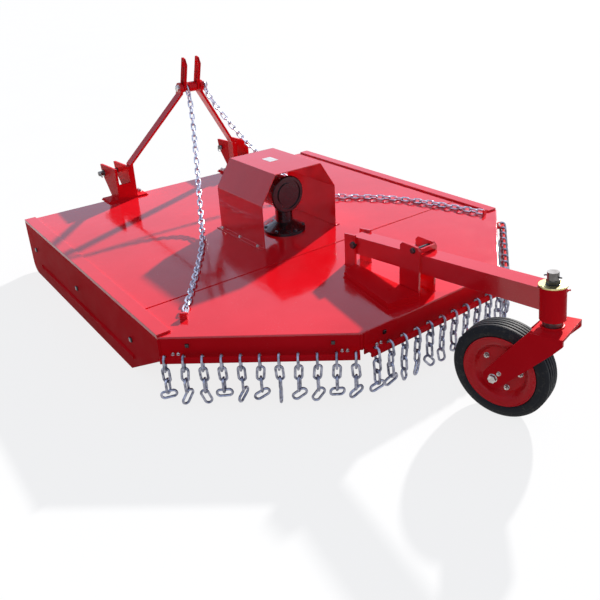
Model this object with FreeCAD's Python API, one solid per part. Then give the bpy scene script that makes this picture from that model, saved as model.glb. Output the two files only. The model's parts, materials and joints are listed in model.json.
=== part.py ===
import FreeCAD, Part
import math
import os

V = FreeCAD.Vector
across = V(1, 0, 0)
forward = V(0, 1, 0)
up = V(0, 0, 1)

# Rotary brush cutter for a three-point hitch, millimetres, +Y forward, +X to its right, +Z up.
# Deck
deck_half_width = 1000.0
deck_front = 900.0
deck_side_end = -780.0
deck_rear = -1266.0
deck_rear_half = 399.0
deck_top = 302.0
deck_thickness = 6.0
deck_under = deck_top - deck_thickness
edge_strip_width = 60.0
edge_strip_height = 9.0
hub_hole_gap = 2.0

# Rails and cross members under the deck
rail_x = 300.0
rail_half = 25.0
rail_depth = 50.0
rail_rear_gap = 30.0
rail_front_gap = 20.0
cross_member_places = [640.0, 60.0, -490.0, -1000.0]

# Side skirts that slide on the ground
skirt_thickness = 8.0
skirt_flat_end = -447.0
skirt_tail_height = 197.0
skirt_nose_radius = 60.0
bead_height = 82.0
bead_front = 720.0
bead_rear = -500.0
bead_radius = 11.0
bead_sink = 3.0

# Aprons: in front of each rear one runs a bar on two end tabs, with an open slot behind the bar
apron_thickness = 8.0
apron_bottom = 226.0
apron_inset = 10.0
tab_length = 80.0
tab_thickness = 10.0
notch_gap = 3.0
slot_width = 34.0
bar_thickness = 10.0
bar_height = 24.0
fold_radius = 5.0

# Guard chains: the top link goes round the bar, and the others hang link in link
chain_pitch = 72.0
chain_margin = 24.0
links_in_chain = 4
link_long = 64.0
link_wide = 33.0
link_wire = 8.5
link_clearance = 0.3

# Rotor
rotor_y = -215.0
blade_pivot_radius = 300.0
pan_edge = 50.0
pan_radius = blade_pivot_radius + pan_edge
pan_bottom = 113.0
pan_thickness = 12.0
pan_rim_height = 30.0
swing_radius = 950.0
blade_width = 80.0
blade_thickness = 12.0
blade_gap = 6.0
blade_tail = 45.0
blade_corner = 25.0
blade_tip_back = 8.0
blade_bolt_radius = 16.0
blade_head_radius = 28.0
blade_head_height = 12.0
blade_nut_radius = 26.0
blade_nut_height = 22.0
pan_flare = 20.0
pan_rim_thickness = 10.0
running_fit = 0.05
end_gap = 1.0
rotor_shaft_radius = 25.0
hub_radius = 50.0
hub_bottom = 190.0

# Gearbox
shaft_rise = 201.0
base_radius = 108.0
base_thickness = 14.0
bell_height = 38.0
neck_radius = 44.0
body_radius = 82.0
body_front = -110.0
body_rear = -250.0
cap_radius = 95.0
cap_thickness = 14.0
cap_groove = 6.0
cap_ring_width = 19.0
cap_disc_radius = 58.0
cap_edge = 5.0
boss_radius = 52.0
boss_length = 40.0
input_radius = 17.5
bearing_seat_radius = 20.0
bearing_seat_length = 80.0
input_stub = 92.0
shaft_engagement = 80.0

# Cover over the gearbox and the drive shaft
cover_rear = -363.0
cover_length = 413.0
cover_sheet = 4.0
cover_half_width = 225.0
cover_top_half = 137.0
cover_wall = 218.0
cover_clearance = 60.0
cover_foot = 26.0

# Lower hitch clevises
clevis_inner = 372.0
clevis_outer = 457.0
clevis_plate = 15.0
clevis_rear = 831.0
clevis_top_length = 228.0
clevis_bottom_length = 114.0
clevis_rear_rise = 186.0
clevis_front_rise = 175.0
clevis_nose_back = 12.0
clevis_nose_drop = 60.0
base_plate = 10.0
base_outer_reach = 68.0
base_inner_reach = 88.0
web_rise = 88.0
web_thickness = 12.0
pin_inset = 44.0
pin_drop = 47.0
pin_radius = 14.0
pin_tail = 34.0
pin_end = 20.0
pin_collar_height = 7.0
pin_collar_width = 6.0

# Mast
leg_thickness = 18.0
leg_width = 58.0
leg_bend_rise = 195.0
tab_radius = 31.0
tab_straight = 36.0
apex_y = 665.0
apex_z = 933.0
apex_bolt_radius = 12.0
bolt_head_radius = 19.0
bolt_head_width = 14.0
nut_gap = 4.0
spacer_radius = 28.0
lug_inner = 36.0
lug_thickness = 14.0
lug_gap = 6.0
lug_width = 50.0
lug_length = 172.0
lug_lean = 18.0
lug_slant = 28.0
top_pin_radius = 12.75
top_pin_reach = 142.0

# Long chains from the apex bolt down to the deck
ring_gap = 6.0
ring_wire = 8.0
ring_radius = 21.0
long_link_pitch = 88.0
long_link_half = 14.0
long_link_wire = 8.0
left_end_inset = 150.0
left_end_ahead = 68.0
right_end_inset = 105.0
right_end_ahead = 2.0
right_bend_inset = 176.0
chain_lug_width = 30.0
chain_lug_thickness = 10.0
chain_lug_height = 28.0

# Tail beam, tilted up toward the rear
tail_tilt = 6.0
beam_side = 80.0
beam_front = -790.0
beam_front_top = 449.0
tube_y = -1773.0
tube_radius = 44.5
tube_length = 122.0
tube_proud = 2.0
spindle_radius = 20.0
spindle_stub = 50.0
collar_radius = 34.0
washer_radius = 48.5
washer_thickness = 6.0
collar_gap = 0.5

# Brackets that hold the beam on the deck, a strap over it and a low rib beside it
bracket_sheet = 10.0
bracket_front_ahead = 34.0
bracket_front_behind = 36.0
bracket_front_lift = 4.0
bracket_front_rise = 10.0
bracket_rear_end = -1214.0
bracket_rear_length = 109.0
bracket_rear_top = 523.0
bracket_chamfer = 14.0
strap_length = 8.0
strap_height = 20.0
pivot_back = 28.0
pivot_drop = 34.0
pivot_radius = 10.0
pivot_head_radius = 16.0
pivot_head_width = 12.0
lock_inset = 34.0
lock_drop = 18.0
lock_radius = 7.0
lock_head_radius = 12.0
lock_head_width = 10.0
rib_height = 28.0
rib_outline = [(-52.0, -832.0), (-145.0, -862.0), (-205.0, -1200.0), (-52.0, -1222.0)]

# Castor fork and wheel
castor_yaw = 13.4
wheel_lead = 176.0
tyre_radius = 184.0
tyre_half = 50.0
tread_half = 36.0
fork_top = 148.0
fork_plate = 10.0
fork_inner = 80.0
fork_arm = 12.0
fork_front = 50.0
fork_rear = 67.0
fork_end_radius = 39.0
fork_heel_drop = 26.0
fork_heel_run = 30.0
fork_throat_drop = 58.0
axle_radius = 10.0
axle_head_radius = 16.0
axle_head_width = 12.0
tyre_wall_radius = 148.0
tyre_shoulder_radius = 160.0
tyre_bead_radius = 137.5
rim_hub_half = 70.0
rim_hub_radius = 30.0
rim_disc_half = 18.0
rim_disc_radius = 96.0
rim_well_half = 34.0
rim_well_radius = 112.0
rim_seat_half = 42.0
rim_seat_radius = 118.0
rim_flange_half = 47.0
rim_flange_radius = 137.0


def box(x0, x1, y0, y1, z0, z1):
    corner = V(min(x0, x1), min(y0, y1), min(z0, z1))
    return Part.makeBox(abs(x1 - x0), abs(y1 - y0), abs(z1 - z0), corner)


def cylinder(start, direction, radius, length):
    return Part.makeCylinder(radius, length, start, direction)


def prism(points, direction):
    wire = Part.makePolygon(points + [points[0]])
    return Part.Face(wire).extrude(direction)


def join(pieces):
    body = pieces[0]
    if len(pieces) > 1:
        body = body.multiFuse(pieces[1:])
    return body.removeSplitter()


def plate_with_hole(outer, inner, direction):
    wires = [Part.makePolygon(points + [points[0]]) for points in (outer, inner[::-1])]
    return Part.Face(wires).extrude(direction)


def turned(profile, origin, direction):
    # Profile points are (radius, height) along the direction
    face = Part.Face(Part.makePolygon([V(r, 0, h) for r, h in profile + profile[:1]]))
    solid = face.revolve(V(0, 0, 0), up, 360)
    side = forward if abs(direction.x) > 0.5 else across
    return framed(solid, origin, side, direction.cross(side), direction)


def mirrored(shape):
    return shape.mirror(V(0, 0, 0), across)


def framed(shape, origin, x_axis, y_axis, z_axis):
    matrix = FreeCAD.Matrix(
        x_axis.x, y_axis.x, z_axis.x, origin.x,
        x_axis.y, y_axis.y, z_axis.y, origin.y,
        x_axis.z, y_axis.z, z_axis.z, origin.z,
        0, 0, 0, 1)
    placed = shape.copy()
    placed.Placement = FreeCAD.Placement(matrix).multiply(shape.Placement)
    return placed


def loft(sections):
    wires = [Part.makePolygon(points + [points[0]]) for points in sections]
    return Part.makeLoft(wires, True, True)


parts = {}

# Deck plate with the hole for the gearbox hub
outline = [
    V(-deck_half_width, deck_front, deck_under),
    V(deck_half_width, deck_front, deck_under),
    V(deck_half_width, deck_side_end, deck_under),
    V(deck_rear_half, deck_rear, deck_under),
    V(-deck_rear_half, deck_rear, deck_under),
    V(-deck_half_width, deck_side_end, deck_under),
]
deck = prism(outline, V(0, 0, deck_thickness))
deck = deck.cut(cylinder(V(0, rotor_y, deck_under), up, hub_radius + hub_hole_gap, deck_thickness))
rear_edges = []
for edge in deck.Edges:
    middle = edge.BoundBox.Center
    level = edge.BoundBox.ZLength < 0.01 and abs(middle.z - deck_top) < 0.01
    if level and middle.y < deck_side_end:
        rear_edges.append(edge)
deck = deck.makeFillet(fold_radius, rear_edges)
parts["deck_plate"] = deck

strip = box(-deck_half_width, -deck_half_width + edge_strip_width,
            deck_side_end + fold_radius, deck_front, deck_top, deck_top + edge_strip_height)
parts["edge_strips"] = Part.makeCompound([strip, mirrored(strip)])

# Side skirts
skirt_points = [
    V(-deck_half_width, deck_front, deck_under),
    V(-deck_half_width, deck_side_end, deck_under),
    V(-deck_half_width, deck_side_end, skirt_tail_height),
    V(-deck_half_width, skirt_flat_end, 0),
    V(-deck_half_width, deck_front, 0),
]
skirt = prism(skirt_points, V(skirt_thickness, 0, 0))
nose = [e for e in skirt.Edges if e.BoundBox.XLength > 1.0 and e.BoundBox.YMin > skirt_flat_end
        and e.BoundBox.ZMax < 0.01 and e.BoundBox.YMax > deck_front - 0.01]
skirt = skirt.makeFillet(skirt_nose_radius, nose)
bead = cylinder(V(-deck_half_width + bead_sink, bead_rear, bead_height), forward,
                bead_radius, bead_front - bead_rear)
bead = bead.cut(box(-deck_half_width + skirt_thickness, -deck_half_width + skirt_thickness + bead_radius,
                    bead_rear, bead_front, bead_height - bead_radius, bead_height + bead_radius))
skirt = join([skirt, bead])
parts["skirt_left"] = skirt
parts["skirt_right"] = mirrored(skirt)

# Aprons along the straight edges of the deck, in a frame with x along the edge and y outward
bar_top = apron_bottom + tab_thickness
bar_middle = slot_width + bar_thickness / 2
link_reach = link_long - 2 * link_wire


def link_ring(centre, edge_on):
    sizes = [(link_wide / 2, link_long / 2), (link_wide / 2 - link_wire, link_reach / 2)]
    loops = [[V(-link_wire / 2, y, z) for y, z in ((-w, -h), (w, -h), (w, h), (-w, h))] for w, h in sizes]
    ring = plate_with_hole(loops[0], loops[1], V(link_wire, 0, 0))
    if not edge_on:
        ring.rotate(V(0, 0, 0), up, 90)
    ring.translate(centre)
    return ring


def hanging_chain(place):
    top = bar_top + link_clearance - link_reach / 2
    drop = link_reach - link_clearance
    centres = [V(place, bar_middle, top - drop * index) for index in range(links_in_chain)]
    return [link_ring(centre, index % 2 == 0) for index, centre in enumerate(centres)]


def apron_run(start, end):
    along = (end - start).normalize()
    outward = V(-along.y, along.x, 0)
    length = (end - start).Length
    low, high = apron_inset, length - apron_inset
    plate = box(low, high, -apron_thickness, 0, apron_bottom, deck_under)
    bar = box(low, high, slot_width, slot_width + bar_thickness, bar_top - bar_height, bar_top)
    tabs = [box(x, x + tab_length, 0, slot_width, apron_bottom, bar_top) for x in (low, high - tab_length)]
    panel = join([plate, bar] + tabs)
    count = int((length - 2 * chain_margin) / chain_pitch) + 1
    first = (length - chain_pitch * (count - 1)) / 2
    notch_inner = bar_middle - link_wide / 2 - notch_gap
    notch_half = link_wire / 2 + notch_gap
    links = []
    for index in range(count):
        place = first + chain_pitch * index
        links += hanging_chain(place)
        if place < low + tab_length + notch_half or place > high - tab_length - notch_half:
            panel = panel.cut(box(place - notch_half, place + notch_half, notch_inner, slot_width,
                                  apron_bottom, bar_top))
    panel = framed(panel, start, along, outward, up)
    chains = framed(Part.makeCompound(links), start, along, outward, up)
    return panel, chains


ground = V(0, 0, -deck_under)
rear_left = outline[5] + ground
rear_inner_left = outline[4] + ground
rear_inner_right = outline[3] + ground
rear_right = outline[2] + ground
runs = [
    ("left", rear_inner_left, rear_left),
    ("rear", rear_inner_right, rear_inner_left),
    ("right", rear_right, rear_inner_right),
]
for name, start, end in runs:
    panel, chains = apron_run(start, end)
    parts["apron_" + name] = panel
    parts["guard_chains_" + name] = chains
front_plate = box(-deck_half_width + skirt_thickness, deck_half_width - skirt_thickness,
                  deck_front - apron_thickness, deck_front, apron_bottom, deck_under)
parts["apron_front"] = front_plate

# Two rails under the deck and the cross members welded between them
rail_low = deck_under - rail_depth
rail = box(-rail_x - rail_half, -rail_x + rail_half, deck_rear + rail_rear_gap, deck_front - rail_front_gap,
           rail_low, deck_under)
parts["deck_rails"] = Part.makeCompound([rail, mirrored(rail)])
members = []
for y in cross_member_places:
    members.append(box(-rail_x + rail_half, rail_x - rail_half, y - rail_half, y + rail_half,
                       rail_low, deck_under))
parts["deck_cross_members"] = Part.makeCompound(members)

# Gearbox: bell foot and neck, round body with its grooved rear cap, front boss, hub down through the plate
shaft_height = deck_top + shaft_rise
boss_front = body_front + boss_length
input_tip = boss_front + input_stub
bell_profile = [
    (0.0, 0.0), (base_radius, 0.0), (base_radius, base_thickness),
    (neck_radius, base_thickness + bell_height), (neck_radius, shaft_rise), (0.0, shaft_rise),
]
cap_profile = [
    (0.0, 0.0), (cap_radius, 0.0), (cap_radius, cap_thickness - cap_edge),
    (cap_radius - cap_edge, cap_thickness), (cap_radius - cap_ring_width, cap_thickness),
    (cap_radius - cap_ring_width, cap_thickness - cap_groove), (cap_disc_radius, cap_thickness - cap_groove),
    (cap_disc_radius, cap_thickness), (0.0, cap_thickness),
]
gearbox = join([
    turned(bell_profile, V(0, rotor_y, deck_top), up),
    cylinder(V(0, rotor_y, hub_bottom), up, hub_radius, deck_top - hub_bottom),
    cylinder(V(0, body_rear, shaft_height), forward, body_radius, body_front - body_rear),
    turned(cap_profile, V(0, body_rear, shaft_height), V(0, -1, 0)),
    cylinder(V(0, body_front, shaft_height), forward, boss_radius, boss_length),
])
seat_start = boss_front - bearing_seat_length
gearbox = gearbox.cut(cylinder(V(0, seat_start - end_gap, shaft_height), forward,
                               bearing_seat_radius + running_fit, bearing_seat_length + 2 * end_gap))
gearbox = gearbox.cut(cylinder(V(0, rotor_y, hub_bottom - end_gap), up,
                               rotor_shaft_radius + running_fit, shaft_engagement + 2 * end_gap))
parts["gearbox"] = gearbox
parts["input_shaft"] = join([
    cylinder(V(0, seat_start, shaft_height), forward, input_radius, input_tip - seat_start),
    cylinder(V(0, seat_start, shaft_height), forward, bearing_seat_radius, bearing_seat_length),
])

# Folded cover, open at both ends
cover_front = cover_rear + cover_length
cover_height = shaft_rise + cap_radius + cover_clearance
slope_run = cover_half_width - cover_top_half
slope_rise = cover_height - cover_wall
slope_length = math.hypot(slope_run, slope_rise)
# Inside corners lie where the sheet's inner faces meet
wall_drop = cover_sheet * (slope_length - slope_rise) / slope_run
top_draw = cover_sheet * (slope_length - slope_run) / slope_rise
outer_corners = [(cover_half_width, 0.0), (cover_half_width, cover_wall), (cover_top_half, cover_height)]
inner_corners = [
    (cover_half_width - cover_sheet, 0.0),
    (cover_half_width - cover_sheet, cover_wall - wall_drop),
    (cover_top_half - top_draw, cover_height - cover_sheet),
]


def both_sides(corners):
    left = [V(-x, cover_rear, deck_top + z) for x, z in corners]
    return left + [V(x, cover_rear, deck_top + z) for x, z in reversed(corners)]


cover_shell = prism(both_sides(outer_corners) + both_sides(inner_corners)[::-1], V(0, cover_length, 0))
feet = []
for side in (-1, 1):
    x0 = side * cover_half_width
    feet.append(box(x0, x0 + side * cover_foot, cover_rear, cover_front, deck_top, deck_top + cover_sheet))
parts["cover"] = join([cover_shell] + feet)

# Rotor: shaft, dished pan, two bolts and two free blades
parts["rotor_shaft"] = cylinder(V(0, rotor_y, pan_bottom + pan_thickness), up,
                                rotor_shaft_radius, hub_bottom + shaft_engagement - pan_bottom - pan_thickness)
pan = cylinder(V(0, rotor_y, pan_bottom), up, pan_radius, pan_thickness)
pan_rim = turned([
    (pan_radius - pan_rim_thickness, 0.0), (pan_radius, 0.0), (pan_radius + pan_flare, pan_rim_height),
    (pan_radius + pan_flare - pan_rim_thickness, pan_rim_height),
    (pan_radius - pan_rim_thickness, pan_thickness),
], V(0, rotor_y, pan_bottom), up)
pan = join([pan, pan_rim])
blade_top = pan_bottom - blade_gap
blade_bottom = blade_top - blade_thickness
bolt_low = blade_bottom - blade_gap
bolts = []
for side in (-1, 1):
    x = side * blade_pivot_radius
    centre = V(x, rotor_y, 0)
    pan = pan.cut(cylinder(centre + V(0, 0, pan_bottom), up, blade_bolt_radius, pan_thickness))
    shank = cylinder(centre + V(0, 0, bolt_low), up, blade_bolt_radius,
                     pan_bottom + pan_thickness - bolt_low)
    head = cylinder(centre + V(0, 0, bolt_low - blade_head_height), up, blade_head_radius,
                    blade_head_height)
    nut = cylinder(centre + V(0, 0, pan_bottom + pan_thickness), up, blade_nut_radius, blade_nut_height)
    bolts.append(join([shank, head, nut]))
    blade_end = swing_radius - blade_pivot_radius
    bar = [
        V(-blade_tail, -blade_width / 2, 0),
        V(blade_end - blade_corner, -blade_width / 2, 0),
        V(blade_end, -blade_width / 2 + blade_corner, 0),
        V(blade_end - blade_tip_back, blade_width / 2, 0),
        V(-blade_tail, blade_width / 2, 0),
    ]
    blade = prism(bar, V(0, 0, blade_thickness))
    blade = blade.cut(cylinder(V(0, 0, 0), up, blade_bolt_radius + running_fit, blade_thickness))
    blade = framed(blade, centre + V(0, 0, blade_bottom), V(side, 0, 0), V(0, side, 0), up)
    parts["blade_" + ("left" if side < 0 else "right")] = blade
parts["blade_pan"] = pan
parts["blade_bolts"] = Part.makeCompound(bolts)

# Lower hitch clevises
clevis_half = clevis_plate / 2
base_top = deck_top + base_plate
base_front = clevis_rear + clevis_bottom_length
clevis_tip = clevis_rear + clevis_top_length
pin_y = clevis_tip - pin_inset
pin_z = base_top + clevis_front_rise - pin_drop
plate_points = [
    V(0, clevis_rear, base_top),
    V(0, clevis_rear, base_top + clevis_rear_rise),
    V(0, clevis_tip, base_top + clevis_front_rise),
    V(0, clevis_tip - clevis_nose_back, base_top + clevis_front_rise - clevis_nose_drop),
    V(0, base_front, base_top),
]
clevis = []
for centre in (clevis_inner, clevis_outer):
    clevis.append(prism([p + V(-centre - clevis_half, 0, 0) for p in plate_points], V(clevis_plate, 0, 0)))
clevis.append(box(-clevis_outer, -clevis_inner, clevis_rear, clevis_rear + web_thickness,
                  base_top, base_top + web_rise))
clevis.append(box(-clevis_outer - base_outer_reach, -clevis_inner + base_inner_reach, clevis_rear, base_front,
                  deck_top, base_top))
clevis = join(clevis)
outer_face = clevis_outer + clevis_half
inner_face = clevis_inner - clevis_half
pin_start = -outer_face - pin_tail
pin_length = pin_tail + outer_face - inner_face + pin_end
clevis = clevis.cut(cylinder(V(pin_start, pin_y, pin_z), across, pin_radius + running_fit, pin_length))
parts["hitch_clevis_left"] = clevis
parts["hitch_clevis_right"] = mirrored(clevis)
pin = join([
    cylinder(V(pin_start, pin_y, pin_z), across, pin_radius, pin_length),
    cylinder(V(-outer_face - pin_collar_width, pin_y, pin_z), across, pin_radius + pin_collar_height,
             pin_collar_width),
])
parts["hitch_pin_left"] = pin
parts["hitch_pin_right"] = mirrored(pin)

# Mast legs lean back from the clevises to the apex bolt
lug_outer = lug_inner + lug_thickness
tab_inner = lug_outer + lug_gap
tab_outer = tab_inner + leg_thickness
leg_foot_y = clevis_rear + leg_width / 2
leg_bend_z = base_top + leg_bend_rise
straight_z = apex_z - tab_straight
straight_y = leg_foot_y + (apex_y - leg_foot_y) * (straight_z - leg_bend_z) / (apex_z - leg_bend_z)
# Height, outer side, y of the middle, width
leg_levels = [
    (base_top, inner_face, leg_foot_y, leg_width),
    (leg_bend_z, inner_face, leg_foot_y, leg_width),
    (straight_z, tab_outer, straight_y, leg_width),
    (apex_z, tab_outer, apex_y, 2 * tab_radius),
]
sections = []
for z, x, y, width in leg_levels:
    sections.append([
        V(-x, y - width / 2, z), V(-x + leg_thickness, y - width / 2, z),
        V(-x + leg_thickness, y + width / 2, z), V(-x, y + width / 2, z),
    ])
apex_left = V(-tab_outer, apex_y, apex_z)
leg = join([loft(sections), cylinder(apex_left, across, tab_radius, leg_thickness)])
leg = leg.cut(cylinder(apex_left, across, apex_bolt_radius, leg_thickness))
parts["mast_leg_left"] = leg
parts["mast_leg_right"] = mirrored(leg)

ring_left = lug_inner - ring_gap
ring_right = tab_outer + ring_gap
nut_start = ring_right + ring_wire + nut_gap
bolt = join([
    cylinder(apex_left, across, apex_bolt_radius, tab_outer + nut_start),
    cylinder(apex_left - across * bolt_head_width, across, bolt_head_radius, bolt_head_width),
    cylinder(V(nut_start, apex_y, apex_z), across, bolt_head_radius, bolt_head_width),
])
parts["mast_bolt"] = bolt
spacer_left = ring_left - ring_wire - ring_gap
spacer_length = spacer_left + lug_inner - lug_gap
spacer_start = V(-spacer_left, apex_y, apex_z)
spacer = cylinder(spacer_start, across, spacer_radius, spacer_length)
parts["mast_spacer"] = spacer.cut(cylinder(spacer_start, across, apex_bolt_radius, spacer_length))

# Top link lugs swing on the apex bolt
lug_points = [
    V(0, lug_width / 2, 0),
    V(0, lug_width / 2, lug_length),
    V(0, 0, lug_length),
    V(0, -lug_width / 2, lug_length - lug_slant),
    V(0, -lug_width / 2, 0),
]
lug = join([
    prism(lug_points, V(lug_thickness, 0, 0)),
    cylinder(V(0, 0, 0), across, lug_width / 2, lug_thickness),
])
lug = lug.cut(cylinder(V(0, 0, 0), across, apex_bolt_radius + running_fit, lug_thickness))
lug = lug.cut(cylinder(V(0, 0, top_pin_reach), across, top_pin_radius, lug_thickness))
lug.rotate(V(0, 0, 0), across, lug_lean)
lug.translate(V(lug_inner, apex_y, apex_z))
parts["top_lug_right"] = lug
parts["top_lug_left"] = mirrored(lug)

# Long chains hang from the apex bolt, lie on the deck and end at lugs near its rear corners
rest_z = deck_top + long_link_half
hang_from = [V(0, apex_y - 12.0, apex_z - 12.0), V(0, apex_y - 38.0, apex_z - 62.0)]
left_path = [p - V(ring_left - ring_wire / 2, 0, 0) for p in hang_from] + [
    V(-130.0, 430.0, 620.0),
    V(-250.0, 215.0, 430.0),
    V(-350.0, 30.0, 340.0),
    V(-432.0, -124.0, rest_z),
    V(-649.0, -440.0, rest_z),
    V(-deck_half_width + left_end_inset, deck_side_end + left_end_ahead, rest_z),
]
right_path = [p + V(ring_right + ring_wire / 2, 0, 0) for p in hang_from] + [
    V(190.0, 470.0, 640.0),
    V(300.0, 280.0, 440.0),
    V(400.0, 110.0, 340.0),
    V(500.0, -39.0, rest_z),
    V(599.0, -129.0, rest_z),
    V(738.0, -313.0, rest_z),
    V(deck_half_width - right_bend_inset, -536.0, rest_z),
    V(deck_half_width - right_end_inset, deck_side_end + right_end_ahead, rest_z),
]


def chain_links(path):
    # Links that meet where the chain bends are one solid
    groups = []
    made = 0
    for start, end in zip(path, path[1:]):
        bends = end is not path[-1]
        along = (end - start).normalize()
        side = along.cross(up).normalize()
        rise = along.cross(side)
        count = max(1, int(round((end - start).Length / long_link_pitch)))
        pitch = (end - start).Length / count
        for index in range(count):
            flat = made % 2 == 1
            half_side = long_link_half if flat else long_link_wire / 2
            half_rise = long_link_wire / 2 if flat else long_link_half
            gap = 0 if bends and index == count - 1 else link_clearance
            link = box(0, pitch - gap, -half_side, half_side, -half_rise, half_rise)
            link = framed(link, start + along * (pitch * index), along, side, rise)
            if index == 0 and groups:
                groups[-1].append(link)
            else:
                groups.append([link])
            made += 1
    return groups


def long_chain(path, ring_x):
    eye_start = V(ring_x, apex_y, apex_z)
    eye = cylinder(eye_start, across, ring_radius, ring_wire)
    first, *others = chain_links(path)
    eye = join([eye] + first).cut(cylinder(eye_start, across, apex_bolt_radius, ring_wire))
    return Part.makeCompound([eye] + [join(group) for group in others])


parts["long_chain_left"] = long_chain(left_path, -ring_left)
parts["long_chain_right"] = long_chain(right_path, ring_right)
lugs = []
for path in (left_path, right_path):
    along = V(path[-1].x - path[-2].x, path[-1].y - path[-2].y, 0).normalize()
    block = box(-chain_lug_width / 2, chain_lug_width / 2, 0, chain_lug_thickness,
                deck_top, deck_top + chain_lug_height)
    lugs.append(framed(block, V(path[-1].x, path[-1].y, 0), V(along.y, -along.x, 0), along, up))
parts["chain_lugs"] = Part.makeCompound(lugs)

# Tail beam and castor tube
tilt = math.radians(tail_tilt)
back = V(0, -math.cos(tilt), math.sin(tilt))
axis_up = V(0, math.sin(tilt), math.cos(tilt))
beam_start = V(0, beam_front, beam_front_top)
beam_length = (tube_y - beam_front) / -math.cos(tilt)
beam = framed(box(-beam_side / 2, beam_side / 2, 0, beam_length, -beam_side, 0),
              beam_start, V(-1, 0, 0), back, axis_up)
tube_top = beam_start + back * beam_length + axis_up * tube_proud
tube_solid = cylinder(tube_top - axis_up * tube_length, axis_up, tube_radius, tube_length)
parts["castor_tube"] = tube_solid.cut(
    cylinder(tube_top - axis_up * tube_length, axis_up, spindle_radius + running_fit, tube_length))
beam = beam.cut(cylinder(tube_top - axis_up * tube_length, axis_up, tube_radius, 2 * tube_length))

# Brackets that hold the beam on the deck, with a pivot bolt in front and a lock bolt behind
beam_half = beam_side / 2
plate_left = -beam_half - bracket_sheet
front_top = beam_front_top + bracket_front_lift
front_points = [
    V(plate_left, beam_front + bracket_front_ahead, deck_top),
    V(plate_left, beam_front + bracket_front_ahead, front_top),
    V(plate_left, beam_front - bracket_front_behind, front_top + bracket_front_rise),
    V(plate_left, beam_front - bracket_front_behind, deck_top),
]
rear_start = bracket_rear_end + bracket_rear_length
rear_points = [
    V(plate_left, rear_start, deck_top),
    V(plate_left, rear_start, bracket_rear_top - bracket_chamfer),
    V(plate_left, rear_start - bracket_chamfer, bracket_rear_top),
    V(plate_left, bracket_rear_end + bracket_chamfer, bracket_rear_top),
    V(plate_left, bracket_rear_end, bracket_rear_top - bracket_chamfer),
    V(plate_left, bracket_rear_end, deck_top),
]
pivot_y = beam_front - pivot_back
pivot_z = beam_front_top - pivot_drop
lock_y = bracket_rear_end + lock_inset
lock_z = bracket_rear_top - lock_drop
# y, z, radius of the shank, radius of the head, thickness of the head
cross_bolts = [
    (pivot_y, pivot_z, pivot_radius, pivot_head_radius, pivot_head_width),
    (lock_y, lock_z, lock_radius, lock_head_radius, lock_head_width),
]
strap_z = bracket_rear_top - bracket_chamfer
strap = box(-beam_half, beam_half, bracket_rear_end, bracket_rear_end + strap_length,
            strap_z - strap_height / 2, strap_z + strap_height / 2)
front_plate_left = prism(front_points, V(bracket_sheet, 0, 0))
rear_plate_left = prism(rear_points, V(bracket_sheet, 0, 0))
front_bracket = Part.makeCompound([front_plate_left, mirrored(front_plate_left)])
rear_bracket = join([rear_plate_left, mirrored(rear_plate_left), strap])
parts["beam_rib"] = prism([V(x, y, deck_top) for x, y in rib_outline], V(0, 0, rib_height))
bolts = []
for y, z, radius, head_radius, head_width in cross_bolts:
    start = V(plate_left, y, z)
    span = -2 * plate_left
    bolts.append(join([
        cylinder(start - across * head_width, across, radius, span + 2 * head_width),
        cylinder(start - across * head_width, across, head_radius, head_width),
        cylinder(start + across * span, across, head_radius, head_width),
    ]))
    hole = cylinder(start, across, radius, span)
    beam = beam.cut(hole)
    front_bracket = front_bracket.cut(hole)
    rear_bracket = rear_bracket.cut(hole)
parts["tail_beam"] = beam
parts["beam_bracket_front"] = front_bracket
parts["beam_bracket_rear"] = rear_bracket
parts["bracket_bolts"] = Part.makeCompound(bolts)

# Castor: spindle, washer, fork and axle, swung forward and a little to the left
yaw = math.radians(castor_yaw)
ahead = forward * math.cos(tilt) + V(0, 0, -1) * math.sin(tilt)
castor_ahead = V(-1, 0, 0) * math.sin(yaw) + ahead * math.cos(yaw)
castor_left = V(-1, 0, 0) * math.cos(yaw) - ahead * math.sin(yaw)
wheel_tilt = math.sqrt(1 - castor_left.z ** 2)
lean_drop = abs(castor_left.z) * tread_half
wheel_drop = (tube_top.z + castor_ahead.z * wheel_lead - tyre_radius * wheel_tilt - lean_drop) / axis_up.z


def in_castor(shape):
    return framed(shape, tube_top, castor_ahead, castor_left, axis_up)


spindle = join([
    cylinder(V(0, 0, -fork_top), up, spindle_radius, fork_top + spindle_stub),
    cylinder(V(0, 0, -fork_top), up, collar_radius, fork_top - tube_length - collar_gap),
])
parts["spindle"] = in_castor(spindle)
washer = cylinder(V(0, 0, collar_gap), up, washer_radius, washer_thickness)
washer = washer.cut(cylinder(V(0, 0, collar_gap), up, spindle_radius, washer_thickness))
parts["spindle_washer"] = in_castor(washer)
fork_outer = fork_inner + fork_arm
arm_root = [
    V(fork_front, 0, -fork_top), V(-fork_rear, 0, -fork_top),
    V(-fork_rear, 0, -fork_top - fork_heel_drop),
    V(-fork_rear + fork_heel_run, 0, -fork_top - fork_throat_drop),
]
axle_point = V(wheel_lead, 0, -wheel_drop)
arm_middle = V((fork_front - fork_rear + fork_heel_run) / 2, 0, -fork_top - fork_heel_drop)
slope = (axle_point - arm_middle).normalize()
beside = V(-slope.z, 0, slope.x)
arm_low = axle_point + beside * fork_end_radius
arm_high = axle_point - beside * fork_end_radius
if arm_low.z > arm_high.z:
    arm_low, arm_high = arm_high, arm_low
arm_points = arm_root + [arm_low, arm_high]
arms = []
for y0 in (fork_inner, -fork_outer):
    blank = prism([p + V(0, y0, 0) for p in arm_points], V(0, fork_arm, 0))
    end = cylinder(axle_point + V(0, y0, 0), forward, fork_end_radius, fork_arm)
    arms.append(join([blank, end]))
top = box(-fork_rear, fork_front, -fork_outer, fork_outer, -fork_top - fork_plate, -fork_top)
fork = join([top] + arms)
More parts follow.
